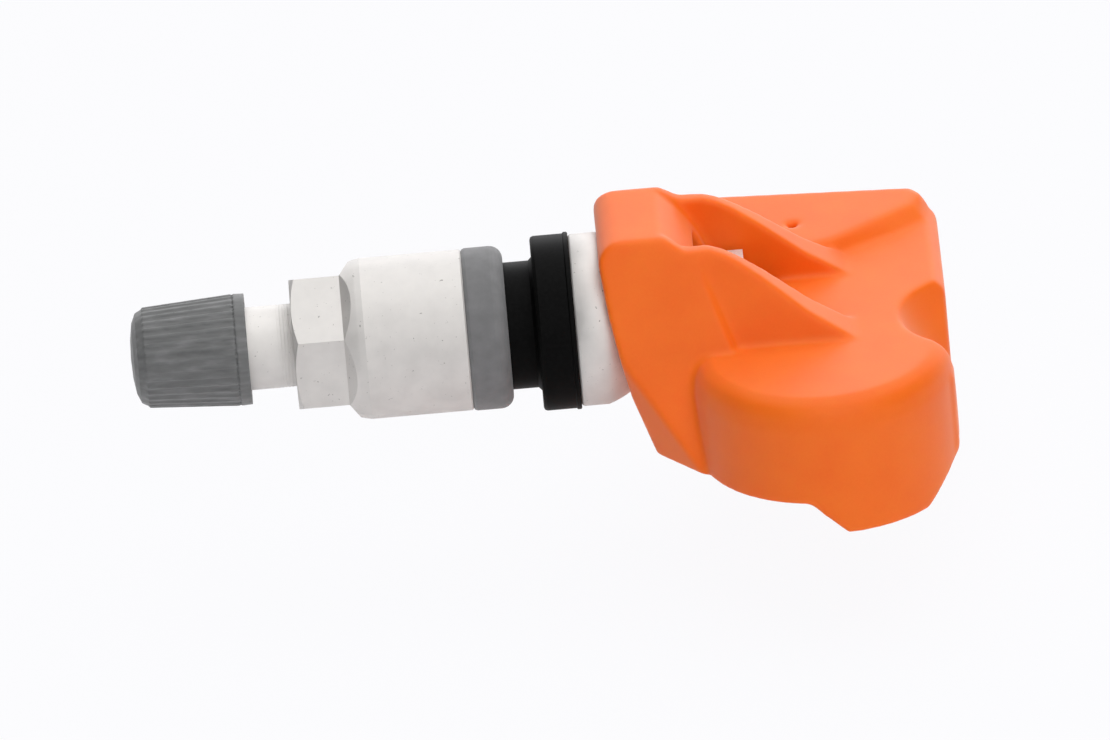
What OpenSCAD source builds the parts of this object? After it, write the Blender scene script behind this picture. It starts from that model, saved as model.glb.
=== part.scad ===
// Tyre pressure sensor with a clamp-in valve.
// The origin is on the valve axis, in the plane where the grommet meets the rim.
// +X runs along the valve into the tyre, +Z points out of the housing's flat top.

/* [Rim and grommet] */
// Thickness of rim between the friction ring and the grommet's flange
rim_t = 2.65; // [2:0.05:4]
// Outer diameter of the grommet's neck
neck_d = 11.8; // [11:0.1:12.4]
// Radial width of the grommet's flange outside its neck
flange_lip = 2.225; // [1.85:0.025:2.6]
// Width of the grommet's flange
flange_w = 3.55; // [3:0.05:4.5]

/* [Valve stem] */
// Outer diameter of the threaded stem
stem_d = 7.7; // [7.2:0.05:8.2]
// Length of bare stem between cap and nut
bare_l = 4.25; // [3:0.05:8]
// Radial width of the foot outside the grommet's neck
foot_lip = 2.1; // [1.8:0.05:2.4]
// Width of the foot's cylindrical edge before the ball starts
foot_edge_w = 2.55; // [2:0.05:3]
// Diameter of the hole that the valve core screws into
core_hole_d = 5.2; // [5:0.05:5.6]
// Diameter of the air passage
air_d = 2.4; // [1.6:0.1:3]

/* [Collar nut] */
// Width of the hexagon across its flats
hex_af = 12; // [11:0.5:13]
// Length of the hexagon
hex_l = 4.7; // [3:0.1:7]
// Length of the inclined facets between hexagon and round body
cone_l = 1.55; // [1:0.05:2.5]
// Wall of the nut's mouth over the grommet's neck
nut_wall = 1.275; // [1:0.025:1.7]
// Length of the nut's round body
nut_body_l = 9.85; // [8:0.05:13]

/* [Friction ring] */
// Radial width of the ring
ring_wall = 1.45; // [1.2:0.05:1.9]
// Length of the ring
ring_l = 3.8; // [2.6:0.05:5]

/* [Valve cap] */
// Length of the cap
cap_l = 10.9; // [9:0.1:14]
// Diameter of the cap at its closed end
cap_end_d = 9.1; // [8.8:0.05:10]
// Diameter of the cap at its open end
cap_mouth_d = 10.3; // [9.8:0.05:11.5]
// Number of ribs round the cap
cap_ribs = 36; // [12:2:48]
// Height of a rib
rib_h = 0.12; // [0.05:0.01:0.3]

/* [Housing] */
// Height of the hood's flat top above the valve axis
hood_h = 10.4; // [10:0.1:12]
// Half width of the hood's flat top
hood_half_w = 5.6; // [5.4:0.1:6.4]
// Sideways spread of the hood's flanks for each millimetre down
flank_slope = 0.394; // [0.36:0.002:0.5]
// Recess of the cheeks' outer faces behind the hood's flanks
cheek_step = 1; // [0.3:0.1:1.2]
// Distance from the flat top down to the front underside
deck_h = 10.3; // [9.8:0.1:12]
// Distance from the flat top down to the rear foot
heel_h = 13.5; // [12.4:0.1:16]
// Half width of the pocket behind the hood
pocket_half_w = 4.55; // [4.4:0.05:4.7]
// Radius of the round cell compartment
drum_r = 12.1; // [11.9:0.1:12.8]
// Centre of the cell compartment along the valve
drum_x = 26; // [25.4:0.1:26.4]
// Distance of the cell compartment's centre from the valve axis
drum_y = 9.6; // [9.2:0.1:10.4]
// Distance of the far side from the valve axis
far_y = 21.4; // [19.4:0.1:24]
// Height of the raised platform above the flat top
platform_h = 1.4; // [0.8:0.1:2]
// Wall thickness of the housing
wall = 1.2; // [1:0.05:1.4]
// Diameter of the pressure port
port_d = 0.8; // [0.6:0.05:1.2]

/* [Swivel] */
// Radius of the hood's rounded back, on which the saddle slides
seat_r = 13.4; // [13.2:0.05:13.6]
// Largest tilt of the housing on the foot, in degrees
tilt_max = 20; // [10:1:20]
// Thickness of the clamp saddle at its middle
saddle_t = 2.65; // [2.4:0.05:2.8]
// Height of the clamp saddle
saddle_h = 7.7; // [7:0.1:8]
// Diameter of the fixing screw's shank
screw_d = 4; // [3.5:0.1:4.2]
// Diameter of the fixing screw's head
screw_head_d = 6.2; // [5.6:0.1:6.6]

/* [Electronics] */
// Room between the coin cell and the wall round it
cell_side = 0.9; // [0.6:0.1:1.5]
// Thickness of the base cover
cover_t = 1; // [0.8:0.1:1.2]
// Thickness of the circuit board
board_t = 0.8; // [0.6:0.1:1]

/* [Hidden] */
$fn = 64;

// Clearances: running fit, loose fit, and the overlap of cutting shapes
fit = 0.05;
loose = 0.25;
cut = 1;

// Diameters that follow the grommet's neck
mouth_gap = 0.3;
ring_gap = 0.2;
flange_d = neck_d + 2 * flange_lip;
foot_d = neck_d + 2 * foot_lip;
nut_d = neck_d + 2 * (mouth_gap + nut_wall);
ring_d = neck_d + 2 * (ring_gap + ring_wall);

// Places along the valve, from the rim plane towards the cap
ring_x = -rim_t - ring_l;
nut_body_x = ring_x - nut_body_l;
hex_x = nut_body_x - cone_l;
nut_x = hex_x - hex_l;
mouth_x = nut_x - bare_l;
cap_x = mouth_x - cap_l;
cap_end_t = 0.8;
seal_t = 0.4;
tip_x = cap_x + cap_end_t + seal_t + fit;

// The foot's ball is centred where the grommet's flange ends
ball_x = flange_w;
ball_r = sqrt(pow(foot_d / 2, 2) + pow(foot_edge_w, 2));
cup_r = ball_r + 0.1;
foot_face_x = ball_x + 7;
tap_depth = 4;
air_hole_x = ball_x + 1.2;
air_hole_d = 1.6;

// The nut's turn on the valve, in degrees
hex_turn = 3;

// Valve core
core_gap = 0.6;
core_l = 7.8;
core_x = tip_x + core_gap;
core_guide_l = 1.3;
core_step_l = 1.2;
core_room_r = 1.7;
core_guide_r = 0.8;
core_ring_l = 1.4;
pin_r = 0.45;
pin_collar_r = 1.4;
pin_collar_l = 0.35;
plunger_l = 1;
plunger_r = 2.1;
press = 0.8;
spring_wire = 0.3;
spring_r = 1.15;
spring_turns = 4;
spring_sides = 6;
spring_steps = 12;

// Cap
cap_bore_r = stem_d / 2 + 0.08;
cap_dome = 1.4;
cap_band = 1;
cap_groove = 0.18;
rib_w = 0.3;

// Housing
hood_front_x = ball_x + 2.55;
hood_back_x = ball_x + 8.75;
cheek_x = ball_x + 10.6;
cheek_h = hood_h - 1.35;
cheek_end_x = ball_x + 25.75;
base_half_w = hood_half_w + flank_slope * hood_h;
pocket_floor = saddle_h / 2 + 0.35;
pocket_end_x = ball_x + 19.1;
slot_half_w = pocket_half_w - 1.5;
rear_in = 0.1;
rear_x = drum_x + drum_r - rear_in;
drum_edge_w = 1.7;
drum_edge_h = 2.8;
front_wall_x = drum_x - drum_r + 0.6;
heel_x = drum_x + 1;
heel_slope_w = heel_h - deck_h + 0.1;
heel_end_x = rear_x - 3.4;
facet_turn = 51;
facet_lean = 14.5;
edge_c = 0.9;
corner_r = 2.2;
far_taper = 2;
port_in = 9.95;
port_pos = [front_wall_x + port_in, far_y - 8.3];
scallop_r = 7.3;
scallop_wall = 0.6;
scallop_c = [rear_x + 3.4, -4.5];
scallop_lean = 24;
block_z = -pocket_floor - wall - 0.1;
roof_z = -wall - 0.2;

// Inside the housing
block_x = pocket_end_x + wall + 0.2;
block_y = pocket_half_w + wall + 0.1;
far_lip = 2.1;
room_far_y = far_y - wall - far_lip;
strip_in = 5.6;
strip_end_x = rear_x - strip_in;
board_z = -4.9;
board_gap = 0.5;
board_top = board_z + board_t;
board_x = front_wall_x + wall + board_gap;
board_rear_x = rear_x - wall - board_gap;
post_r = 0.85;
post_pin_r = 0.45;
post_pin_l = 0.4;
posts = [
    [board_x + 1.9, block_y + board_gap + 1.2], [board_rear_x - 2.2, block_y + board_gap + 4.5],
    [block_x + board_gap + 1.3, -drum_y + 2.4]
];
cover_gap = 0.08;
cover_in = 0.2;
cover_top = -deck_h + cover_in + cover_t;
cell_d = 2 * (drum_r - wall - cell_side);
cell_c = [drum_x, -drum_y];
cell_edge_y = cell_c[1] + cell_d / 2 + 0.3;
chip_size = [5.6, 5.2, 2.2];
chip_gap = 1.1;
coil_c = [board_x + 1.2, far_y - 12.4, board_top];
coil_l = 7;
rod_w = 2.2;
rod_t = 1.3;
rod_end_l = 1;
cap_size = [0.8, 1.6, 0.8];
antenna_w = 1.2;
antenna_t = 0.3;
antenna_h = 1.9;
tab_t = 0.15;
tab_w = 4;
cell_z = cover_top + tab_t + 0.1;
cell_t = block_z - tab_t - cell_z;

seat_x = ball_x + seat_r;
saddle_x = seat_x + saddle_t;
head_h = 1.7;
head_depth = 1.8;
head_x = saddle_x - head_depth;

// Points of an arc, in degrees
function arc(c, r, from, to, n = 6) =
    [for (i = [0:n]) c + r * [cos(from + (to - from) * i / n), sin(from + (to - from) * i / n)]];

// Sets an upright shape along the valve, its foot at x
module along_valve(x = 0) {
    translate([x, 0, 0]) rotate([0, 90, 0]) children();
}

// Turned shape from [place along the valve, radius] points
module turned(points) {
    along_valve() rotate_extrude() polygon([for (p = points) [p[1], p[0]]]);
}

// Solid round bar along the valve between two places
module bar(from, to, r) {
    along_valve(from) cylinder(h = to - from, r = r);
}

// Side outline drawn in [X, Z], given a width across the valve
module across(width) {
    rotate([90, 0, 0]) linear_extrude(height = width, center = true) children();
}

module valve_cap() {
    end_r = cap_end_d / 2;
    mouth_r = cap_mouth_d / 2;
    rib_end = mouth_x - cap_band - cap_groove;
    slope = (mouth_r - end_r) / (cap_l - cap_dome);
    rib_r = end_r + slope * (rib_end - cap_x - cap_dome);
    color("dimgray") difference() {
        union() {
            turned([
                [cap_x, 0], [cap_x + 0.08, end_r * 0.4], [cap_x + 0.3, end_r * 0.72],
                [cap_x + cap_dome * 0.5, end_r * 0.92], [cap_x + cap_dome, end_r],
                [rib_end, rib_r], [rib_end, rib_r - cap_groove], [rib_end + cap_groove, rib_r - cap_groove],
                [rib_end + cap_groove, rib_r + rib_h], [mouth_x, mouth_r], [mouth_x, 0]
            ]);
            for (i = [0:cap_ribs - 1])
                rotate([i * 360 / cap_ribs, 0, 0]) across(rib_w) polygon([
                    [cap_x + cap_dome * 0.6, end_r * 0.8], [cap_x + cap_dome, end_r + rib_h],
                    [rib_end, rib_r + rib_h], [rib_end, end_r * 0.8]
                ]);
        }
        bar(cap_x + cap_end_t, mouth_x + cut, cap_bore_r);
    }
}

module cap_seal() {
    color("black") bar(cap_x + cap_end_t, cap_x + cap_end_t + seal_t, cap_bore_r - fit);
}

module valve_stem() {
    r = stem_d / 2;
    core_end = core_x + core_l + core_ring_l + press + plunger_l + cut;
    color("silver") difference() {
        turned(concat(
            [[tip_x, 0], [tip_x, r - 0.6], [tip_x + 0.6, r], [ball_x, r]],
            [[ball_x, foot_d / 2 - 0.2], [ball_x + 0.2, foot_d / 2]],
            arc([ball_x, 0], ball_r, asin(foot_d / 2 / ball_r), acos((foot_face_x - ball_x) / ball_r), 8),
            [[foot_face_x, 0]]
        ));
        bar(tip_x - cut, core_end, core_hole_d / 2);
        bar(core_end - cut, air_hole_x, air_d / 2);
        translate([air_hole_x, 0, -foot_d]) cylinder(h = foot_d, d = air_hole_d);
        bar(foot_face_x - tap_depth, foot_face_x + cut, screw_d / 2 + fit);
    }
}

module core_body() {
    r = core_hole_d / 2 - fit;
    color("goldenrod") difference() {
        turned([
            [core_x, 0], [core_x, r - 0.5], [core_x + 0.5, r], [core_x + core_l * 0.6, r],
            [core_x + core_l * 0.7, r - 0.3], [core_x + core_l, r - 0.3], [core_x + core_l, 0]
        ]);
        bar(core_x - cut, core_x + core_l + cut, core_guide_r);
        bar(core_x + core_guide_l, core_x + core_l - core_step_l, core_room_r);
        // Two flats for the core key
        for (s = [-1, 1])
            translate([core_x - cut, s * (r + cut * 0.5) - cut / 2, -r]) cube([cut + 1.6, cut, 2 * r]);
    }
}

module core_ring() {
    color("crimson") difference() {
        bar(core_x + core_l * 0.72, core_x + core_l * 0.72 + core_ring_l, core_hole_d / 2 - 0.02);
        bar(core_x, core_x + 2 * core_l, core_hole_d / 2 - fit - 0.3);
    }
}

module core_pin() {
    collar_x = core_x + core_guide_l + fit;
    color("silver") {
        turned([
            [core_x - 0.35, 0], [core_x - 0.35, pin_r + 0.15], [core_x - 0.1, pin_r + 0.15],
            [core_x, pin_r], [collar_x, pin_r], [collar_x, pin_collar_r],
            [collar_x + pin_collar_l, pin_collar_r], [collar_x + pin_collar_l, pin_r],
            [core_x + core_l + fit + plunger_l, pin_r], [core_x + core_l + fit + plunger_l, 0]
        ]);
    }
}

module core_plunger() {
    color("black") difference() {
        bar(core_x + core_l + fit, core_x + core_l + fit + plunger_l, plunger_r);
        bar(core_x, core_x + 2 * core_l, pin_r);
    }
}

module core_spring() {
    from = core_x + core_guide_l + fit + pin_collar_l + press + spring_wire;
    to = core_x + core_l - core_step_l - spring_wire / 2;
    count = spring_turns * spring_steps;
    centre = function(i) [
        from + (to - from) * i / count,
        spring_r * cos(360 * i / spring_steps),
        spring_r * sin(360 * i / spring_steps)
    ];
    ring = function(i, k) centre(i) + spring_wire / 2 * [
        sin(360 * k / spring_sides),
        cos(360 * k / spring_sides) * cos(360 * i / spring_steps),
        cos(360 * k / spring_sides) * sin(360 * i / spring_steps)
    ];
    n = spring_sides;
    color("lightgray") polyhedron(
        points = [for (i = [0:count], k = [0:n - 1]) ring(i, k)],
        faces = concat(
            [[for (k = [0:n - 1]) k]],
            [for (i = [0:count - 1], k = [0:n - 1])
                [i * n + k, (i + 1) * n + k, (i + 1) * n + (k + 1) % n, i * n + (k + 1) % n]],
            [[for (k = [n - 1:-1:0]) count * n + k]]
        )
    );
}

module collar_nut() {
    r = nut_d / 2;
    hex_r = hex_af / 2 / cos(30);
    color("silver") difference() {
        intersection() {
            turned([
                [nut_x, 0], [nut_x, hex_af / 2 - 0.05], [nut_x + 0.5, hex_r + 0.05], [hex_x, hex_r + 0.05],
                [nut_body_x - 0.2, r - 0.12], [nut_body_x + 0.4, r], [ring_x - 0.15, r], [ring_x, r - 0.15],
                [ring_x, 0]
            ]);
            along_valve(nut_x) rotate(hex_turn) hexagonal_flare(hex_r, (r + 0.6) / cos(30));
        }
        bar(nut_x - cut, ring_x + cut, stem_d / 2 + 0.08);
        bar(ring_x - 5, ring_x + cut, neck_d / 2 + mouth_gap);
    }
}

// Hexagon that widens past the round body over the length of the shoulder
module hexagonal_flare(r, wide_r) {
    cylinder(h = hex_l, r = r, $fn = 6);
    translate([0, 0, hex_l]) cylinder(h = cone_l, r1 = r, r2 = wide_r, $fn = 6);
    translate([0, 0, hex_l + cone_l]) cylinder(h = nut_body_l + cut, r = wide_r, $fn = 6);
}

module friction_ring() {
    r = ring_d / 2;
    color("gray") difference() {
        turned(concat(
            [[ring_x, 0], [ring_x, r - 0.3]],
            [[ring_x + 0.1, r - 0.1], [ring_x + 0.35, r]],
            arc([-rim_t - 1.2, r - 1.2], 1.2, 90, 0),
            [[-rim_t, 0]]
        ));
        bar(ring_x - cut, -rim_t + cut, neck_d / 2 + ring_gap);
    }
}

module rubber_grommet() {
    r = flange_d / 2;
    neck_r = neck_d / 2;
    color("black") difference() {
        turned([
            [ring_x + 0.2, 0], [ring_x + 0.2, neck_r - 0.3], [ring_x + 0.5, neck_r], [-0.3, neck_r],
            [0, neck_r + 0.3], [0, r - 0.35], [0.1, r - 0.1], [0.35, r],
            [flange_w - 0.5, r], [flange_w - 0.4, r + 0.12], [flange_w - 0.1, r + 0.12],
            [flange_w, r], [flange_w, 0]
        ]);
        bar(ring_x - cut, flange_w + cut, stem_d / 2 + 0.02);
    }
}

// Outline of the deck around the ridge, seen from above
module deck_outline(inset = 0) {
    x0 = front_wall_x + inset;
    x1 = rear_x - inset;
    y1 = far_y - inset;
    r = corner_r - min(inset, corner_r / 2);
    polygon(concat(
        [[drum_x - 4, -drum_y], [x1, -drum_y], [x1, 0]],
        arc([x1 - r, y1 - far_taper - r], r, 0, 85),
        [[x0 + 1.2, y1], [x0, y1 - 1.2], [x0, 0]]
    ));
}

// Solid deck: cell drum, far block and rear wall, its top edges bevelled
module deck() {
    difference() {
        union() {
            translate([drum_x, -drum_y, 0]) rotate_extrude() polygon([
                [0, -heel_h], [drum_r, -heel_h], [drum_r, -drum_edge_h], [drum_r - 0.3, -drum_edge_h * 0.5],
                [drum_r - 0.8, -drum_edge_h * 0.2], [drum_r - drum_edge_w, 0], [0, 0]
            ]);
            hull() {
                translate([0, 0, -heel_h]) linear_extrude(height = heel_h - 1.2) deck_outline();
                translate([0, 0, -1]) linear_extrude(height = 1) deck_outline(edge_c);
            }
            rear_corner();
        }
        across(4 * far_y) under_side();
    }
}

// Straight end of the rear wall, where it runs on beside the drum
module rear_corner() {
    translate([0, 0, -heel_h]) linear_extrude(height = heel_h - drum_edge_h) polygon([
        [drum_x, -drum_y], [rear_x - 1, -drum_y - 4.5], [rear_x, -drum_y - 3.1], [rear_x, -drum_y]
    ]);
}

// What is cut away below, in [X, Z]: all but the rear foot
module under_side() {
    polygon([
        [0, -deck_h], [heel_x - heel_slope_w, -deck_h], [heel_x, -heel_h], [heel_x, -heel_h - cut],
        [0, -heel_h - cut]
    ]);
    polygon([
        [heel_end_x, -heel_h], [rear_x - 0.7, -deck_h - 0.7], [rear_x + cut, -deck_h + 1],
        [rear_x + cut, -heel_h - cut], [heel_end_x, -heel_h - cut]
    ]);
}

// Raised platform over the pressure port, with a diagonal bevelled side
module platform() {
    low = [[front_wall_x, 5], [cheek_end_x - 1.5, 8], [rear_x - 1.4, 14],
        [rear_x - 0.7, far_y - 3.8], [rear_x - 1.8, far_y - 2.3], [front_wall_x + 0.4, far_y - 0.5]];
    high = [[front_wall_x + 0.1, 5.6], [cheek_end_x - 1.5, 9.3], [rear_x - 2.4, 15.2],
        [rear_x - 1.4, far_y - 4.1], [rear_x - 2.3, far_y - 2.7], [front_wall_x + 0.6, far_y - 0.9]];
    hull() {
        translate([0, 0, -0.5]) linear_extrude(height = 0.5) polygon(low);
        translate([0, 0, platform_h - 0.05]) linear_extrude(height = 0.05) polygon(high);
    }
}

// Trapezoid bar along the valve: the section of the hood and of the cheeks.
// Its flanks stand back by the step where they meet the deck, and not at the top.
module ridge_section(step, from, to) {
    foot_z = -deck_h;
    top = hood_half_w;
    slope = flank_slope - step / hood_h;
    foot = top + slope * (hood_h - foot_z);
    c = 0.35;
    translate([from, 0, 0]) rotate([90, 0, 90]) linear_extrude(height = to - from) polygon([
        [-foot, foot_z], [foot, foot_z], [top + c * flank_slope, hood_h - c], [top - c * 0.4, hood_h],
        [-top + c * 0.4, hood_h], [-top - c * flank_slope, hood_h - c]
    ]);
}

// Side outline of the hood, sloped at the front to follow the rim
module hood_side() {
    polygon(concat(
        arc([hood_front_x + 2.2, hood_h - 2.2], 2.2, 172, 90),
        [[hood_back_x, hood_h], [cheek_x, cheek_h], [cheek_end_x - 11, cheek_h]],
        [[cheek_end_x - 11, -deck_h], [hood_front_x + 4, -deck_h],
        [hood_front_x + 2.1, -deck_h * 0.41], [hood_front_x + 0.55, deck_h * 0.38]]
    ));
}

// Side outline of the cheeks, falling in a soft curve to the deck
module cheek_side() {
    polygon([
        [cheek_x - 1, -deck_h], [cheek_x - 1, cheek_h], [cheek_end_x - 12.9, cheek_h],
        [cheek_end_x - 11.6, cheek_h - 0.5], [cheek_end_x - 10.2, cheek_h - 1.35],
        [cheek_end_x - 8, cheek_h - 3], [cheek_end_x - 4, cheek_h - 6.4],
        [cheek_end_x, 0], [cheek_end_x, -deck_h]
    ]);
}

module ridge() {
    step_x = cheek_end_x - 11.1;
    difference() {
        hood(step_x);
        for (s = [0, 1]) mirror([0, s, 0]) corner_facet();
    }
    intersection() {
        ridge_section(cheek_step, cheek_x - 1, cheek_end_x);
        across(4 * far_y) cheek_side();
    }
}

// Hood and flanks, up to the slanting step where the cheeks are set back
module hood(step_x) {
    intersection() {
        ridge_section(0, hood_front_x - cut, step_x);
        across(4 * far_y) hood_side();
        across(4 * far_y) polygon([
            [0, -deck_h], [0, hood_h + cut], [step_x - 3.1, hood_h + cut], [step_x - 2.4, cheek_h - 2.5],
            [step_x, -0.2], [step_x, -deck_h]
        ]);
    }
}

// Cuts the lower front corner of one flank back to a facet
module corner_facet() {
    bottom = [hood_front_x + 4, -base_half_w - flank_slope * deck_h + 5.1, -deck_h];
    translate(bottom) rotate([0, 0, -facet_turn]) rotate([facet_lean, 0, 0])
        translate([-20, -20, -10]) cube([40, 20, 30]);
}

// Slot through the hood for the screw's shank, as wide as the tilt needs
module tilt_slot() {
    reach = seat_r + 2 * cut;
    h = screw_d / 2 + 0.3;
    across(2 * slot_half_w) translate([ball_x, 0]) polygon([
        [0, -h], [reach, -h], [reach, 0], reach * [cos(tilt_max), sin(tilt_max)] + h * [-sin(tilt_max), cos(tilt_max)],
        h * [-sin(tilt_max), cos(tilt_max)]
    ]);
}

// Pocket for saddle and driver, behind the hood's rounded back
module pocket() {
    difference() {
        translate([0, -pocket_half_w, -pocket_floor])
            cube([pocket_end_x, 2 * pocket_half_w, pocket_floor + hood_h + cut]);
        translate([ball_x, 0, 0]) rotate([90, 0, 0]) cylinder(h = 4 * pocket_half_w, r = seat_r, center = true);
    }
    translate([pocket_end_x - cut, -pocket_half_w, 0])
        cube([cheek_end_x - pocket_end_x + 2 * cut, 2 * pocket_half_w, hood_h]);
}

// Round scallop in the rear edge
module scallop(r) {
    translate(scallop_c) rotate([0, -scallop_lean, 0]) cylinder(h = 4 * heel_h, r = r, center = true);
}

// Room for the electronics, open at the underside
module cavity(gap = 0) {
    floor_z = -heel_h - cut;
    depth = -floor_z;
    r = drum_r - wall - gap;
    y1 = room_far_y - gap;
    difference() {
        union() {
            translate([drum_x, -drum_y, floor_z]) cylinder(h = depth + roof_z, r = r);
            translate([front_wall_x + wall + gap, block_y + gap, floor_z])
                cube([rear_x - 2 * wall - front_wall_x - 2 * gap, y1 - block_y - gap, depth + roof_z]);
            translate([block_x + gap, -drum_y, floor_z])
                cube([strip_end_x - block_x - 2 * gap, drum_y + block_y + 2 * wall, depth + roof_z]);
        }
        // Pocket's own walls and floor stay
        translate([0, -block_y - gap, block_z]) cube([block_x + gap, 2 * (block_y + gap), depth]);
        scallop(scallop_r + scallop_wall + gap);
    }
}

module housing_shell() {
    color("darkorange") {
        difference() {
            union() {
                deck();
                platform();
                ridge();
            }
            translate([ball_x, 0, 0]) sphere(r = cup_r);
            tilt_slot();
            pocket();
            cavity();
            chip_room();
            scallop(scallop_r);
            translate([port_pos[0], port_pos[1], 0]) {
                cylinder(h = platform_h + cut, d = port_d);
                translate([0, 0, platform_h - 0.4]) cylinder(h = 0.5, r1 = port_d / 2, r2 = port_d / 2 + 0.3);
            }
        }
        board_posts();
    }
}

// Posts that the board rests against, each with a thin pin through the board
module board_posts() {
    for (p = posts) translate([p[0], p[1], 0]) {
        translate([0, 0, board_top]) cylinder(h = roof_z - board_top + wall / 2, r = post_r);
        translate([0, 0, board_z - post_pin_l]) cylinder(h = board_t + post_pin_l + fit, r = post_pin_r);
    }
}

// Room above the board for the pressure chip, under the platform
module chip_room() {
    translate([port_pos[0] - 3.6, port_pos[1] - 3.4, roof_z - cut]) cube([7.2, 6.8, cut - roof_z]);
}

// Plate that follows the stepped underside, inside the housing's walls
module base_cover() {
    color("darkorange") intersection() {
        cavity(cover_gap);
        across(4 * far_y) underside_band();
    }
}

module underside_band() {
    low = -deck_h + cover_in;
    heel_low = -heel_h + cover_in;
    polygon([
        [0, low], [heel_x - heel_slope_w, low], [heel_x, heel_low], [heel_end_x, heel_low],
        [rear_x, low - 0.8], [rear_x, cover_top - 0.6], [heel_end_x - 0.4, heel_low + cover_t],
        [heel_x + 0.5, heel_low + cover_t], [heel_x - heel_slope_w + 0.5, cover_top], [0, cover_top]
    ]);
}

module clamp_saddle() {
    w = pocket_half_w - loose;
    color("white") difference() {
        intersection() {
            translate([seat_x - 3, -w, -saddle_h / 2]) cube([saddle_x - seat_x + 3, 2 * w, saddle_h]);
            bar(seat_x - 3, saddle_x, w * 1.28);
        }
        translate([ball_x, 0, 0]) rotate([90, 0, 0]) cylinder(h = 4 * w, r = seat_r + fit, center = true);
        bar(seat_x - 3, saddle_x + cut, screw_d / 2 + 0.1);
        bar(head_x, saddle_x + cut, screw_head_d / 2 + 0.15);
    }
}

module fixing_screw() {
    r = screw_head_d / 2;
    color("silver") difference() {
        union() {
            bar(foot_face_x - tap_depth + 0.4, head_x + 0.1, screw_d / 2);
            turned([
                [head_x + fit, 0], [head_x + fit, r], [head_x + head_h - 0.5, r],
                [head_x + head_h - 0.1, r - 0.5], [head_x + head_h, r - 0.9], [head_x + head_h, 0]
            ]);
        }
        along_valve(head_x + head_h - 1.1) linear_extrude(height = 2) star_socket(1.35);
    }
}

// Six-lobed socket
module star_socket(r) {
    circle(r = r * 0.8);
    for (i = [0:5]) rotate(60 * i) translate([r * 0.75, 0]) circle(r = r * 0.25);
}

module circuit_board() {
    x0 = block_x + board_gap;
    x1 = strip_end_x - board_gap;
    y0 = block_y + board_gap;
    y1 = room_far_y - board_gap;
    color("seagreen") translate([0, 0, board_z]) linear_extrude(height = board_t) difference() {
        polygon([
            [board_x, y0], [x0, y0], [x0, -drum_y + 1], [x1, -drum_y + 1], [x1, y0 + 2.2],
            [board_rear_x, y0 + 2.2], [board_rear_x, y1 - 1], [board_rear_x - 1, y1], [board_x, y1]
        ]);
        for (p = posts) translate(p) circle(r = post_pin_r + fit);
    }
}

module coin_cell() {
    r = cell_d / 2;
    color("lightgray") translate([cell_c[0], cell_c[1], cell_z]) rotate_extrude() polygon([
        [0, 0], [r - 1.6, 0], [r - 1.3, 0.35], [r - 0.3, 0.35], [r, 0.65], [r, cell_t - 0.3],
        [r - 0.3, cell_t], [0, cell_t]
    ]);
}

// Spring strip from the upper face of the cell to the board
module cell_tab_upper() {
    x = pocket_end_x + 4.4;
    y = -drum_y - 2;
    top = cell_z + cell_t;
    color("silver") {
        translate([x, y, top]) cube([tab_w, 5, tab_t]);
        translate([x, y + 5 - tab_t, top]) cube([tab_w, tab_t, board_z - top]);
    }
}

// Strip from the lower face of the cell, up past its rim to the board
module cell_tab_lower() {
    edge = cell_edge_y;
    x = cell_c[0] - 1;
    color("silver") {
        translate([x, edge - 6, cell_z - tab_t]) cube([tab_w, 6 + tab_t, tab_t]);
        translate([x, edge, cell_z - tab_t]) cube([tab_w, tab_t, board_z - cell_z + tab_t]);
    }
}

module sensor_chip() {
    color("#303030") difference() {
        translate([port_pos[0] - chip_size[0] / 2, port_pos[1] - chip_size[1] / 2, board_top])
            cube(chip_size);
        translate([port_pos[0], port_pos[1], board_top + 0.8]) cylinder(h = chip_size[2], d = 1);
    }
}

module port_gasket() {
    z = board_top + chip_size[2];
    color("ivory") translate([port_pos[0], port_pos[1], z]) difference() {
        cylinder(h = -z, d = 3.6);
        translate([0, 0, -cut]) cylinder(h = -z + 2 * cut, d = 1);
    }
}

module ferrite_rod() {
    color("#2a2a2a") translate(coil_c) {
        translate([0, 0, rod_t / 2]) cube([rod_w, coil_l, rod_t]);
        for (y = [0, coil_l - rod_end_l])
            translate([-loose, y, 0]) cube([rod_w + 2 * loose, rod_end_l, 1.8 * rod_t]);
    }
}

module coil_winding() {
    t = 0.2;
    color("#b5651d") translate([coil_c[0], coil_c[1] + rod_end_l, coil_c[2] + rod_t / 2]) difference() {
        translate([-t, fit, -t]) cube([rod_w + 2 * t, coil_l - 2 * (rod_end_l + fit), rod_t + 2 * t]);
        translate([0, -cut, 0]) cube([rod_w, coil_l + cut, rod_t]);
    }
}

module crystal() {
    x = port_pos[0] + chip_size[0] / 2 + chip_gap;
    color("silver") translate([x, port_pos[1] - 1.6, board_top]) hull() {
        cube([3.2, 2.5, 0.6]);
        translate([0.15, 0.15, 0]) cube([2.9, 2.2, 0.8]);
    }
}

module chip_capacitors() {
    x = block_x + board_gap + 1.4;
    color("tan") for (i = [0:4])
        translate([x + 1.7 * (i % 2), cell_edge_y - 5.3 + 2 * floor(i / 2), board_top]) cube(cap_size);
}

// Bent strip that stands on the board along the far wall
module radio_antenna() {
    y = room_far_y - 1.1;
    x0 = board_x + 0.7;
    l = board_rear_x - 2.1 - x0;
    color("silver") translate([x0, y, board_top]) {
        cube([antenna_w, antenna_t, antenna_h]);
        translate([l - antenna_w, 0, 0]) cube([antenna_w, antenna_t, antenna_h]);
        translate([0, 0, antenna_h - 0.5]) cube([l, antenna_t, 0.5]);
    }
}

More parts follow.
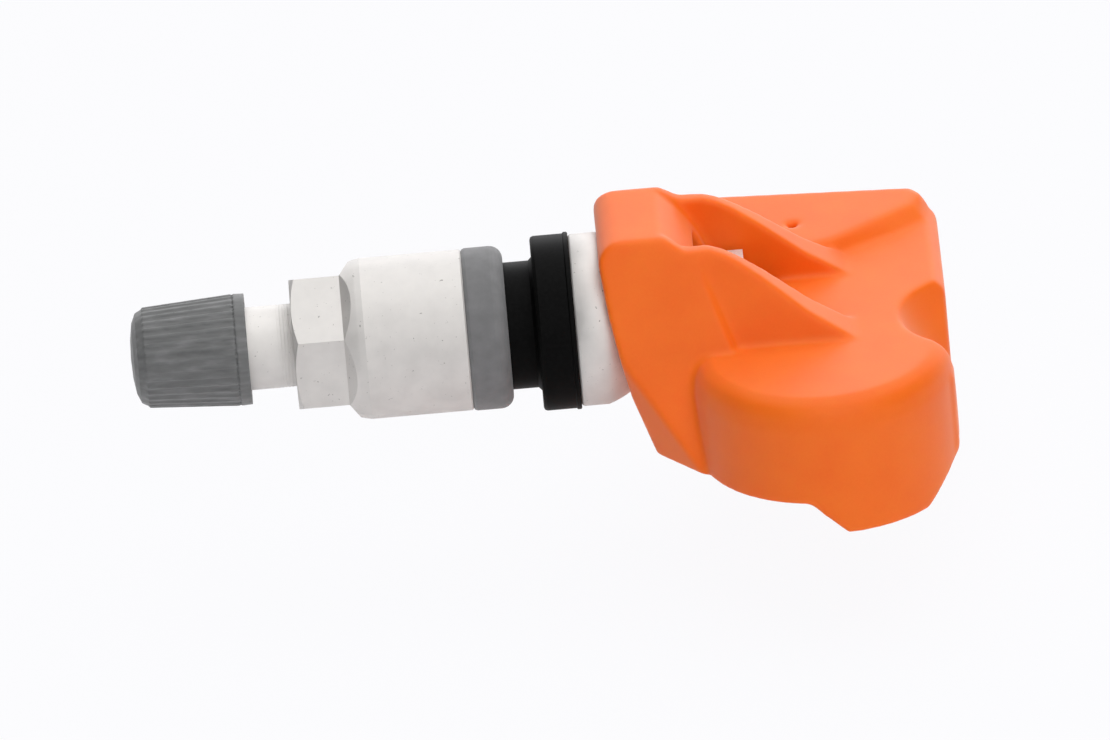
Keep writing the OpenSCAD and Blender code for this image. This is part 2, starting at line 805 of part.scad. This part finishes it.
valve_cap();
cap_seal();
valve_stem();
core_body();
core_ring();
core_pin();
core_plunger();
core_spring();
collar_nut();
friction_ring();
rubber_grommet();
housing_shell();
base_cover();
clamp_saddle();
fixing_screw();
circuit_board();
coin_cell();
cell_tab_upper();
cell_tab_lower();
sensor_chip();
port_gasket();
ferrite_rod();
coil_winding();
crystal();
chip_capacitors();
radio_antenna();
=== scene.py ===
"""Looks of a tyre pressure sensor: a clamp-in aluminium valve and an orange housing on its foot."""

import math

import bmesh
import bpy
from mathutils import Matrix, Vector


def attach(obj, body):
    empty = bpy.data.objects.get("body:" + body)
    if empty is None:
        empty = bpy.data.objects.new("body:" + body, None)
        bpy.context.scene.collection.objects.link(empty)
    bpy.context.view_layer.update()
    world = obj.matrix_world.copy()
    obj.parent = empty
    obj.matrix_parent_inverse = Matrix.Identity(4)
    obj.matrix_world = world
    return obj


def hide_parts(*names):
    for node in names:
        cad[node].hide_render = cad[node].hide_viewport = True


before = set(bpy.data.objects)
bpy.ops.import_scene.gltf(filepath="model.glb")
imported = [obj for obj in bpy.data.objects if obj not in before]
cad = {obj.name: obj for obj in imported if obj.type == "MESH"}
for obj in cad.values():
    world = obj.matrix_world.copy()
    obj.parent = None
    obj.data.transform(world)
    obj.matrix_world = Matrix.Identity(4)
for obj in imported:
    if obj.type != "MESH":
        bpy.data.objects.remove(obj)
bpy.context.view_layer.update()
scene = bpy.context.scene
scene.view_settings.view_transform = "Standard"

# ---------------------------------------------------------------- camera
# The photograph looks down on the valve from one side, 27 degrees above its
# plane, with the valve rising 5 degrees to the right, through a long lens.
# Its scale is 10.8 pixels for each millimetre in a frame 1110 pixels wide.
PIXELS_PER_METRE = 10800
FRAME_W = 1110
right = Vector((0.9962, -0.0396, -0.0777)).normalized()
up = Vector((0.0872, 0.4522, 0.8877))
back = right.cross(up).normalized()
up = back.cross(right)
camera_data = bpy.data.cameras.new("camera")
camera_data.sensor_width = 36
camera_distance = 2.5
camera_data.lens = PIXELS_PER_METRE * camera_distance / FRAME_W * camera_data.sensor_width
camera_data.clip_start = 0.05
camera_data.clip_end = 20
camera = bpy.data.objects.new("camera", camera_data)
scene.collection.objects.link(camera)
turn = Matrix((right, up, back)).transposed()
aim = right * 0.00171 - up * 0.0043
camera.matrix_world = Matrix.Translation(aim + back * camera_distance) @ turn.to_4x4()
scene.camera = camera


# ---------------------------------------------------------------- valve stem
# Turned aluminium tube with a rolled 7.7 mm thread at the cap end and a round
# foot at the other. Turning leaves fine rings round the axis; the part is
# then brightened, so it stays pale and satin.
def linear(hex_colour):
    """Linear RGBA of an sRGB hex colour."""
    channels = [int(hex_colour[i : i + 2], 16) / 255 for i in (1, 3, 5)]
    return [*(c / 12.92 if c <= 0.04045 else ((c + 0.055) / 1.055) ** 2.4 for c in channels), 1]


def add_node(tree, kind, inputs=None, **settings):
    """Adds a node; an input is a value, or the output socket that feeds it."""
    made = tree.nodes.new(kind)
    for name, value in settings.items():
        setattr(made, name, value)
    for key, value in (inputs or {}).items():
        if isinstance(value, bpy.types.NodeSocket):
            tree.links.new(value, made.inputs[key])
        else:
            made.inputs[key].default_value = value
    return made


def new_material(name):
    """An empty node material and its tree."""
    material = bpy.data.materials.new(name)
    material.use_nodes = True
    material.node_tree.nodes.clear()
    return material, material.node_tree


def surface(tree, inputs):
    """Ends a material in one Principled shader with these inputs."""
    shader = add_node(tree, "ShaderNodeBsdfPrincipled", inputs)
    add_node(tree, "ShaderNodeOutputMaterial", {"Surface": shader.outputs["BSDF"]})
    return shader


def colour_ramp(tree, fac, stops):
    """Colours between (place, hex) stops, driven by a socket."""
    ramp = add_node(tree, "ShaderNodeValToRGB", {"Fac": fac})
    elements = ramp.color_ramp.elements
    while len(elements) < len(stops):
        elements.new(0.5)
    for element, (place, colour) in zip(elements, stops):
        element.position = place
        element.color = linear(colour)
    return ramp.outputs["Color"]


def object_noise(tree, size_mm, detail=2.0, stretch=(1, 1, 1)):
    """Noise on object coordinates with cells of this size, longer along a stretched axis."""
    coordinates = add_node(tree, "ShaderNodeTexCoord").outputs["Object"]
    scaled = add_node(
        tree,
        "ShaderNodeMapping",
        {"Vector": coordinates, "Scale": [1 / (s * size_mm * 0.001) for s in stretch]},
    )
    made = add_node(
        tree,
        "ShaderNodeTexNoise",
        {"Vector": scaled.outputs["Vector"], "Scale": 1.0, "Detail": detail},
    )
    return made.outputs["Fac"]


def bump(tree, height, depth_mm, strength=1.0):
    """Normal of a height socket, this deep from black to white."""
    made = add_node(
        tree,
        "ShaderNodeBump",
        {"Height": height, "Distance": depth_mm * 0.001, "Strength": strength},
    )
    return made.outputs["Normal"]


def dress(node, material):
    """Gives a CAD node's object one material."""
    piece = cad[node]
    piece.data.materials.clear()
    piece.data.materials.append(material)


def mesh_object(name, mesh, material, smooth_angle=35):
    """A new piece of one material, its normals set outwards and its edges kept crisp."""
    piece = bpy.data.objects.new(name, mesh)
    scene.collection.objects.link(piece)
    mesh.materials.clear()
    mesh.materials.append(material)
    mesh.shade_smooth()
    mesh.set_sharp_from_angle(angle=math.radians(smooth_angle))
    return piece


def threaded_copy(node, name, material, radius_mm, pitch_mm, spans):
    """A copy of a CAD node whose cylinder of this radius carries thread or rings.

    Each span is (from, to, depth, helical) in millimetres along X, in order.
    Threads turn with X; rings stand square to it. Both fade over one pitch at their ends.
    """
    ring_pitch_mm = 0.31
    samples_per_pitch = 10
    steps = 96
    crest = 1.5
    mesh = cad[node].data.copy()
    build = bmesh.new()
    build.from_mesh(mesh)
    bmesh.ops.remove_doubles(build, verts=build.verts, dist=1e-7)
    first, last = spans[0][0], spans[-1][1]
    for x in (first, last):
        bmesh.ops.bisect_plane(
            build,
            geom=build.verts[:] + build.edges[:] + build.faces[:],
            plane_co=(x * 0.001, 0, 0),
            plane_no=(1, 0, 0),
        )
    near = 0.004 * radius_mm * 0.001
    covered = []
    for face in build.faces:
        middle_x = face.calc_center_median().x * 1000
        if first < middle_x < last and all(
            abs(math.hypot(v.co.y, v.co.z) - radius_mm * 0.001) < near for v in face.verts
        ):
            covered.append(face)
    bmesh.ops.delete(build, geom=covered, context="FACES_KEEP_BOUNDARY")
    open_edges = [edge for edge in build.edges if edge.is_boundary]
    ends = [
        [edge for edge in open_edges if abs(edge.verts[0].co.x * 1000 - x) < 0.01]
        for x in (first, last)
    ]

    places = []
    for start, stop, depth, helical in spans:
        pitch = pitch_mm if helical else ring_pitch_mm
        count = max(1, round((stop - start) / pitch * samples_per_pitch)) if depth else 1
        for i in range(count):
            places.append((start + (stop - start) * i / count, start, stop, depth, pitch, helical))
    places = places[1:]
    rings = []
    for x, start, stop, depth, pitch, helical in places:
        fade = max(0.0, min(1.0, (x - start) / pitch, (stop - x) / pitch))
        ring = []
        for k in range(steps):
            around = 2 * math.pi * k / steps
            wave = 0.5 - 0.5 * math.cos(2 * math.pi * x / pitch - (around if helical else 0))
            r = (radius_mm - depth * fade * wave**crest) * 0.001
            ring.append(build.verts.new((x * 0.001, r * math.cos(around), r * math.sin(around))))
        rings.append(ring)
    for a, b in zip(rings, rings[1:]):
        for k in range(steps):
            build.faces.new((a[k], a[(k + 1) % steps], b[(k + 1) % steps], b[k]))
    for edges, ring in zip(ends, (rings[0], rings[-1])):
        loop = [build.edges.get((ring[k], ring[(k + 1) % steps])) for k in range(steps)]
        if loop[0] is None:
            loop = [build.edges.new((ring[k], ring[(k + 1) % steps])) for k in range(steps)]
        bmesh.ops.bridge_loops(build, edges=edges + loop)
    bmesh.ops.recalc_face_normals(build, faces=build.faces)
    build.to_mesh(mesh)
    build.free()
    mesh.name = name
    piece = mesh_object(name, mesh, material)
    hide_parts(node)
    return piece


def turned_aluminium(name, ring_mm, tint="#E0DDDA", low="#D5D2CF", roughness=0.56):
    """Pale satin aluminium with turning rings across the valve's axis and sparse dark pits."""
    material, tree = new_material(name)
    rings = object_noise(tree, ring_mm, 3.0, (1, 200, 200))
    patches = object_noise(tree, 2.5, 3.0)
    mottle = colour_ramp(tree, patches, [(0.35, low), (0.65, tint)])
    pits = colour_ramp(tree, object_noise(tree, 0.32, 2.0), [(0.70, "#FFFFFF"), (0.78, "#A8A6A4")])
    # Sockets 0, 6 and 7 are the colour mix's factor, A and B
    pitted = add_node(
        tree,
        "ShaderNodeMix",
        {0: 1.0, 6: mottle, 7: pits},
        data_type="RGBA",
        blend_type="MULTIPLY",
    )
    rough = add_node(
        tree,
        "ShaderNodeMapRange",
        {
            "Value": patches,
            "From Min": 0.3,
            "From Max": 0.7,
            "To Min": roughness - 0.06,
            "To Max": roughness + 0.08,
        },
    )
    surface(
        tree,
        {
            "Base Color": pitted.outputs[2],
            "Metallic": 0.5,
            "Roughness": rough.outputs["Result"],
            "Normal": bump(tree, rings, 0.006, 0.5),
        },
    )
    return material


valve_aluminium = turned_aluminium("turned_aluminium", 0.08)
stem = threaded_copy(
    "valve_stem",
    "threaded_stem",
    valve_aluminium,
    3.85,
    0.79375,
    [
        (-35.8, -27.4, 0.42, True),
        (-27.4, -24.1, 0.0, False),
        (-24.1, -22.3, 0.03, False),
        (-22.3, -12.0, 0.42, True),
    ],
)
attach(stem, "valve")


# ---------------------------------------------------------------- rubber grommet
# Moulded black rubber: a neck that fills the rim hole and a flange that seals
# against the rim's inner face. Nearly smooth, deep black, with hardly a sheen.
grommet_rubber, tree = new_material("moulded_black_rubber")
surface(
    tree,
    {
        "Base Color": colour_ramp(
            tree, object_noise(tree, 0.35, 4.0), [(0.35, "#040404"), (0.7, "#0A0A0A")]
        ),
        "Roughness": 0.5,
        "IOR": 1.5,
        "Specular IOR Level": 0.05,
        "Normal": bump(tree, object_noise(tree, 0.12, 3.0), 0.01, 0.5),
    },
)
dress("rubber_grommet", grommet_rubber)

# ---------------------------------------------------------------- valve core
# The core is turned from brass with a red seal ring; its pin and spring are
# plated steel and its plunger is rubber. The core screws into the stem's bore.
# The brass shows fine turning rings and slightly uneven gold.
core_brass, tree = new_material("turned_brass")
surface(
    tree,
    {
        "Base Color": colour_ramp(
            tree, object_noise(tree, 0.8, 3.0), [(0.3, "#A88445"), (0.7, "#BE9A55")]
        ),
        "Metallic": 1.0,
        "Roughness": 0.3,
        "Normal": bump(tree, object_noise(tree, 0.06, 2.0, (1, 200, 200)), 0.005, 0.5),
    },
)
dress("core_body", core_brass)

# Dull red rubber with a faint cloudiness
seal_red, tree = new_material("red_seal_rubber")
surface(
    tree,
    {
        "Base Color": colour_ramp(
            tree, object_noise(tree, 0.4, 3.0), [(0.3, "#84251E"), (0.7, "#93302A")]
        ),
        "Roughness": 0.5,
    },
)
dress("core_ring", seal_red)


def plated_steel(
    name, low="#B4B4B0", high="#CDCDCA", roughness=0.28, grain_mm=0.25, metallic=1.0
):
    """Nickel-plated steel, lightly grained from tumbling before plating."""
    material, tree = new_material(name)
    grain = object_noise(tree, grain_mm, 4.0)
    surface(
        tree,
        {
            "Base Color": colour_ramp(tree, grain, [(0.3, low), (0.7, high)]),
            "Metallic": metallic,
            "Roughness": roughness,
            "Normal": bump(tree, grain, 0.006, 0.5),
        },
    )
    return material


pin_steel = plated_steel("plated_steel_wire", grain_mm=0.1)
dress("core_pin", pin_steel)


def helix_nodes():
    """Geometry Nodes group that winds a wire along Z, round or squared, from named inputs."""
    group = bpy.data.node_groups.new("wound_wire", "GeometryNodeTree")
    names = {}
    for label, kind in (
        ("Turns", "NodeSocketFloat"),
        ("Steps", "NodeSocketInt"),
        ("Length", "NodeSocketFloat"),
        ("Half Width", "NodeSocketFloat"),
        ("Half Height", "NodeSocketFloat"),
        ("Squareness", "NodeSocketFloat"),
        ("Wire Radius", "NodeSocketFloat"),
        ("Wire Sides", "NodeSocketInt"),
        ("Material", "NodeSocketMaterial"),
    ):
        socket = group.interface.new_socket(label, in_out="INPUT", socket_type=kind)
        names[label] = socket.identifier
    group.interface.new_socket("Geometry", in_out="OUTPUT", socket_type="NodeSocketGeometry")
    given = add_node(group, "NodeGroupInput").outputs
    helix = add_node(
        group,
        "GeometryNodeCurveSpiral",
        {
            "Resolution": given["Steps"],
            "Rotations": given["Turns"],
            "Start Radius": 1.0,
            "End Radius": 1.0,
            "Height": given["Length"],
        },
    )
    position = add_node(group, "GeometryNodeInputPosition").outputs["Position"]
    at = add_node(group, "ShaderNodeSeparateXYZ", {"Vector": position})
    squared = []
    for axis, half in (("X", "Half Width"), ("Y", "Half Height")):
        pushed = add_node(
            group,
            "ShaderNodeMath",
            {0: at.outputs[axis], 1: given["Squareness"]},
            operation="MULTIPLY",
        )
        held = add_node(
            group, "ShaderNodeClamp", {"Value": pushed.outputs[0], "Min": -1.0, "Max": 1.0}
        )
        sized = add_node(
            group, "ShaderNodeMath", {0: held.outputs[0], 1: given[half]}, operation="MULTIPLY"
        )
        squared.append(sized.outputs[0])
    place = add_node(
        group, "ShaderNodeCombineXYZ", {"X": squared[0], "Y": squared[1], "Z": at.outputs["Z"]}
    )
    path = add_node(
        group,
        "GeometryNodeSetPosition",
        {"Geometry": helix.outputs["Curve"], "Position": place.outputs[0]},
    )
    section = add_node(
        group,
        "GeometryNodeCurvePrimitiveCircle",
        {"Resolution": given["Wire Sides"], "Radius": given["Wire Radius"]},
    )
    wire = add_node(
        group,
        "GeometryNodeCurveToMesh",
        {
            "Curve": path.outputs["Geometry"],
            "Profile Curve": section.outputs["Curve"],
            "Fill Caps": True,
        },
    )
    real = add_node(group, "GeometryNodeRealizeInstances", {"Geometry": wire.outputs["Mesh"]})
    dressed = add_node(
        group,
        "GeometryNodeSetMaterial",
        {"Geometry": real.outputs["Geometry"], "Material": given["Material"]},
    )
    add_node(group, "NodeGroupOutput", {"Geometry": dressed.outputs["Geometry"]})
    return group, names


wound_wire, wound_inputs = helix_nodes()


def wound(name, material, place, **inputs):
    """A wound wire as a plain mesh; place moves it from the Z axis to where it sits."""
    work = bpy.data.objects.new(name + "_work", bpy.data.meshes.new(name + "_work"))
    scene.collection.objects.link(work)
    winding = work.modifiers.new("winding", "NODES")
    winding.node_group = wound_wire
    for label, value in inputs.items():
        winding[wound_inputs[label.replace("_", " ")]] = value
    winding[wound_inputs["Material"]] = material
    evaluated = work.evaluated_get(bpy.context.evaluated_depsgraph_get())
    mesh = bpy.data.meshes.new_from_object(evaluated)
    bpy.data.objects.remove(work)
    mesh.transform(place)
    mesh.name = name
    return mesh_object(name, mesh, material)


# The spring lies round the core's pin, along the valve
spring = wound(
    "wound_spring",
    pin_steel,
    Matrix.Translation((-0.03303, 0, 0)) @ Matrix.Rotation(math.radians(90), 4, "Y"),
    Turns=4.0,
    Steps=32,
    Length=0.00361,
    Half_Width=0.00115,
    Half_Height=0.00115,
    Squareness=1.0,
    Wire_Radius=0.00015,
    Wire_Sides=10,
)
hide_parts("core_spring")
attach(spring, "valve")
dress("core_plunger", grommet_rubber)

# ---------------------------------------------------------------- friction ring
# Moulded grey nylon washer between nut and grommet, which lets the nut turn
# without dragging the rubber. Satin from its tool, with a rounded rim edge.
ring_nylon, tree = new_material("moulded_grey_nylon")
surface(
    tree,
    {
        "Base Color": colour_ramp(
            tree, object_noise(tree, 1.2, 4.0), [(0.3, "#6E6E6F"), (0.7, "#787879")]
        ),
        "Roughness": 0.62,
        "Sheen Weight": 0.15,
        "IOR": 1.53,
        "Specular IOR Level": 0.25,
        "Normal": bump(tree, object_noise(tree, 0.09, 3.0), 0.008, 0.5),
    },
)
dress("friction_ring", ring_nylon)

# ---------------------------------------------------------------- collar nut
# Turned from hexagon bar: 12 mm flats at the cap end, an inclined shoulder
# where the flats run out, and a round body over the rim hole. Same alloy as
# the stem, tumbled, so its surface is a touch more matt and finely mottled.
nut_aluminium = turned_aluminium("tumbled_aluminium", 0.12, "#DDDAD7", "#D2CFCC", 0.6)
dress("collar_nut", nut_aluminium)

# ---------------------------------------------------------------- valve cap
# Moulded dark grey nylon cap with fine lengthwise ribs for the fingers, and a
# black sealing disc pressed into its bore. Handling leaves the ribs greyer.
cap_nylon, tree = new_material("moulded_dark_nylon")
wear = object_noise(tree, 0.7, 5.0, (4, 1, 1))
surface(
    tree,
    {
        "Base Color": colour_ramp(
            tree, wear, [(0.3, "#5A5B5B"), (0.55, "#686969"), (0.8, "#7E7E7F")]
        ),
        "Roughness": 0.6,
        "IOR": 1.53,
        "Sheen Weight": 0.2,
        "Normal": bump(tree, object_noise(tree, 0.08, 3.0), 0.01, 0.6),
    },
)


def eased_skin(node, name, material, voxel, rounds, triangles):
    """A copy of a CAD node's mesh with its edges rounded as a moulding's are."""
    mesh = cad[node].data.copy()
    build = bmesh.new()
    build.from_mesh(mesh)
    bmesh.ops.remove_doubles(build, verts=build.verts, dist=1e-6)
    build.to_mesh(mesh)
    build.free()
    work = bpy.data.objects.new(name + "_work", mesh)
    scene.collection.objects.link(work)
    remesh = work.modifiers.new("skin", "REMESH")
    remesh.mode = "VOXEL"
    remesh.voxel_size = voxel
    remesh.adaptivity = 0
    ease = work.modifiers.new("ease", "SMOOTH")
    ease.factor = 0.5
    ease.iterations = rounds
    evaluated = work.evaluated_get(bpy.context.evaluated_depsgraph_get())
    faces = len(evaluated.data.loop_triangles) or len(evaluated.data.polygons) * 2
    thin = work.modifiers.new("thin", "DECIMATE")
    thin.ratio = min(1.0, triangles / faces)
    evaluated = work.evaluated_get(bpy.context.evaluated_depsgraph_get())
    skin = bpy.data.meshes.new_from_object(evaluated)
    bpy.data.objects.remove(work)
    skin.name = name
    piece = mesh_object(name, skin, material, 60)
    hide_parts(node)
    return piece


cap = eased_skin("valve_cap", "cap_moulding", cap_nylon, 0.0001, 1, 120000)
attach(cap, "cap")
dress("cap_seal", grommet_rubber)

# ---------------------------------------------------------------- housing
# One orange moulding of glass-filled nylon: hood over the valve's foot, open
# pocket between two cheeks, cell drum and the block with the pressure port. Its
# edges are soft from the mould, so the CAD shell is rebuilt as a fine skin that is
# smoothed. Satin, finely grained, with a little light passing under the surface.
housing_nylon, tree = new_material("moulded_orange_nylon")
broad = object_noise(tree, 6.0, 3.0)
fine = object_noise(tree, 0.22, 4.0)
broad_share = add_node(tree, "ShaderNodeMath", {0: broad, 1: 0.75}, operation="MULTIPLY")
fine_share = add_node(tree, "ShaderNodeMath", {0: fine, 1: 0.25}, operation="MULTIPLY")
mixed = add_node(
    tree,
    "ShaderNodeMath",
    {0: broad_share.outputs[0], 1: fine_share.outputs[0]},
    operation="ADD",
)
surface(
    tree,
    {
        "Base Color": colour_ramp(tree, mixed.outputs[0], [(0.35, "#F3690A"), (0.65, "#F77112")]),
        "Roughness": 0.5,
        "IOR": 1.5,
        "Specular IOR Level": 0.28,
        "Sheen Weight": 0.15,
        "Sheen Roughness": 0.45,
        "Subsurface Weight": 0.25,
        "Subsurface Radius": (1.0, 0.25, 0.08),
        "Subsurface Scale": 0.0012,
        "Normal": bump(tree, fine, 0.012, 0.5),
    },
)
housing = eased_skin("housing_shell", "housing_moulding", housing_nylon, 0.00021, 24, 180000)
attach(housing, "housing")
dress("base_cover", housing_nylon)

# ---------------------------------------------------------------- electronics
# Green glass-epoxy board with its chips, coil, crystal and antenna strip over
# a coin cell between two nickel tabs. All of it is closed in by the housing.
# The board is green under a clear lacquer, with the cloth faintly showing.
board_epoxy, tree = new_material("glass_epoxy_board")
weave = object_noise(tree, 0.5, 2.0)
surface(
    tree,
    {
        "Base Color": colour_ramp(tree, weave, [(0.3, "#1B5E3C"), (0.7, "#24754C")]),
        "Roughness": 0.35,
        "Coat Weight": 0.3,
    },
)
dress("circuit_board", board_epoxy)

# Brighter, smoother steel for the cell and the crystal, greyer strip for the tabs
cell_steel = plated_steel("stainless_can", "#BDBEC0", "#D0D1D2", 0.25, 0.4)
dress("coin_cell", cell_steel)
dress("crystal", cell_steel)
tab_nickel = plated_steel("rolled_nickel_strip", "#B2B0A8", "#C6C4BC", 0.33, 0.15)
for strip in ("cell_tab_upper", "cell_tab_lower", "radio_antenna"):
    dress(strip, tab_nickel)


def small_part(name, low, high, roughness, metallic=0.0):
    """A mottled finish for the small parts on the board."""
    material, tree = new_material(name)
    surface(
        tree,
        {
            "Base Color": colour_ramp(
                tree, object_noise(tree, 0.3, 3.0), [(0.3, low), (0.7, high)]
            ),
            "Roughness": roughness,
            "Metallic": metallic,
        },
    )
    return material


# Matt black chip, milky gasket, near-black ferrite, copper under enamel, tan ceramic
dress("sensor_chip", small_part("moulded_epoxy", "#222226", "#2C2C30", 0.55))
dress("port_gasket", small_part("white_silicone", "#DEDAD0", "#EBE7DD", 0.5))
dress("ferrite_rod", small_part("sintered_ferrite", "#262527", "#323134", 0.6))
enamelled_copper = small_part("enamelled_copper", "#A65A1A", "#C07030", 0.3, 0.8)
coil = wound(
    "wound_coil",
    enamelled_copper,
    Matrix.Translation((0.0185, 0.0149, -0.0028)) @ Matrix.Rotation(math.radians(90), 4, "X"),
    Turns=39.0,
    Steps=32,
    Length=0.0048,
    Half_Width=0.00121,
    Half_Height=0.00076,
    Squareness=1.38,
    Wire_Radius=0.00006,
    Wire_Sides=6,
)
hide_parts("coil_winding")
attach(coil, "housing")
dress("chip_capacitors", small_part("fired_ceramic", "#AE9169", "#C0A47C", 0.4))

# ---------------------------------------------------------------- clamp saddle and fixing screw
# Nickel-plated steel block that bears on the hood's rounded back, and the
# socket screw that draws the housing onto the valve's foot through it.
# Paler and duller than the screw, as it catches white even inside the orange pocket
dress("clamp_saddle", plated_steel("nickel_plated_block", "#DCDAD6", "#EAE8E4", 0.5, 0.3, 0.35))
screw = threaded_copy(
    "fixing_screw",
    "threaded_screw",
    plated_steel("nickel_plated_screw"),
    2.0,
    0.7,
    [(7.05, 15.6, 0.38, True)],
)
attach(screw, "screw")

# ---------------------------------------------------------------- floor and light
# A white floor under the object, a broad soft lamp overhead and a weaker one in
# front. The room is bright behind the object, as the photo's white sheet was, and
# dark in front. The camera sees floor and room as plain white.
def camera_sees(tree):
    """One for camera and transmission rays, nought for light and reflections."""
    paths = add_node(tree, "ShaderNodeLightPath").outputs
    return add_node(
        tree,
        "ShaderNodeMath",
        {0: paths["Is Camera Ray"], 1: paths["Is Transmission Ray"]},
        operation="MAXIMUM",
    ).outputs[0]


floor_build = bmesh.new()
half_floor = 1.5
# Just below the housing's lowest point when it is tilted as far as it goes
floor_z = -0.0250
corners = [
    floor_build.verts.new((x * half_floor, y * half_floor, floor_z))
    for x, y in ((-1, -1), (1, -1), (1, 1), (-1, 1))
]
floor_build.faces.new(corners)
floor_mesh = bpy.data.meshes.new("floor")
floor_build.to_mesh(floor_mesh)
floor_build.free()
floor_white, tree = new_material("white_paper")
paper = add_node(tree, "ShaderNodeBsdfDiffuse", {"Color": linear("#F4F4F6")})
glow = add_node(tree, "ShaderNodeEmission", {"Color": linear("#FCFCFE"), "Strength": 1.0})
# The last twenty-fifth stays paper, so that a faint shadow shows
share = add_node(tree, "ShaderNodeMath", {0: camera_sees(tree), 1: 0.96}, operation="MULTIPLY")
mixed_paper = add_node(
    tree,
    "ShaderNodeMixShader",
    {0: share.outputs[0], 1: paper.outputs["BSDF"], 2: glow.outputs["Emission"]},
)
add_node(tree, "ShaderNodeOutputMaterial", {"Surface": mixed_paper.outputs["Shader"]})
floor = mesh_object("floor", floor_mesh, floor_white)

world = bpy.data.worlds.new("white_room")
scene.world = world
world.use_nodes = True
tree = world.node_tree
tree.nodes.clear()
direction = add_node(tree, "ShaderNodeTexCoord").outputs["Generated"]
facing = add_node(
    tree,
    "ShaderNodeVectorMath",
    {0: direction, 1: (0.15, 0.98, 0.0)},
    operation="DOT_PRODUCT",
)
sweep = add_node(
    tree,
    "ShaderNodeMapRange",
    {
        "Value": facing.outputs["Value"],
        "From Min": 0.55,
        "From Max": 0.95,
        "To Min": 0.06,
        "To Max": 2.8,
    },
)
room = add_node(
    tree, "ShaderNodeBackground", {"Color": linear("#F2F2F4"), "Strength": sweep.outputs["Result"]}
)
white = add_node(tree, "ShaderNodeBackground", {"Color": linear("#FCFCFE"), "Strength": 1.0})
both = add_node(
    tree,
    "ShaderNodeMixShader",
    {0: camera_sees(tree), 1: room.outputs["Background"], 2: white.outputs["Background"]},
)
add_node(tree, "ShaderNodeOutputWorld", {"Surface": both.outputs["Shader"]})


def soft_lamp(name, place, width, height, power):
    """A rectangular area lamp that points at the object."""
    data = bpy.data.lights.new(name, "AREA")
    data.shape = "RECTANGLE"
    data.size = width
    data.size_y = height
    data.energy = power
    lamp = bpy.data.objects.new(name, data)
    lamp.location = place
    lamp.rotation_mode = "QUATERNION"
    lamp.rotation_quaternion = (-Vector(place)).to_track_quat("-Z", "Y")
    scene.collection.objects.link(lamp)


soft_lamp("window_above", (0.10, 0.08, 0.62), 0.80, 0.80, 4.2)
soft_lamp("front_fill", (0.13, -0.52, 0.34), 0.60, 0.60, 2.0)
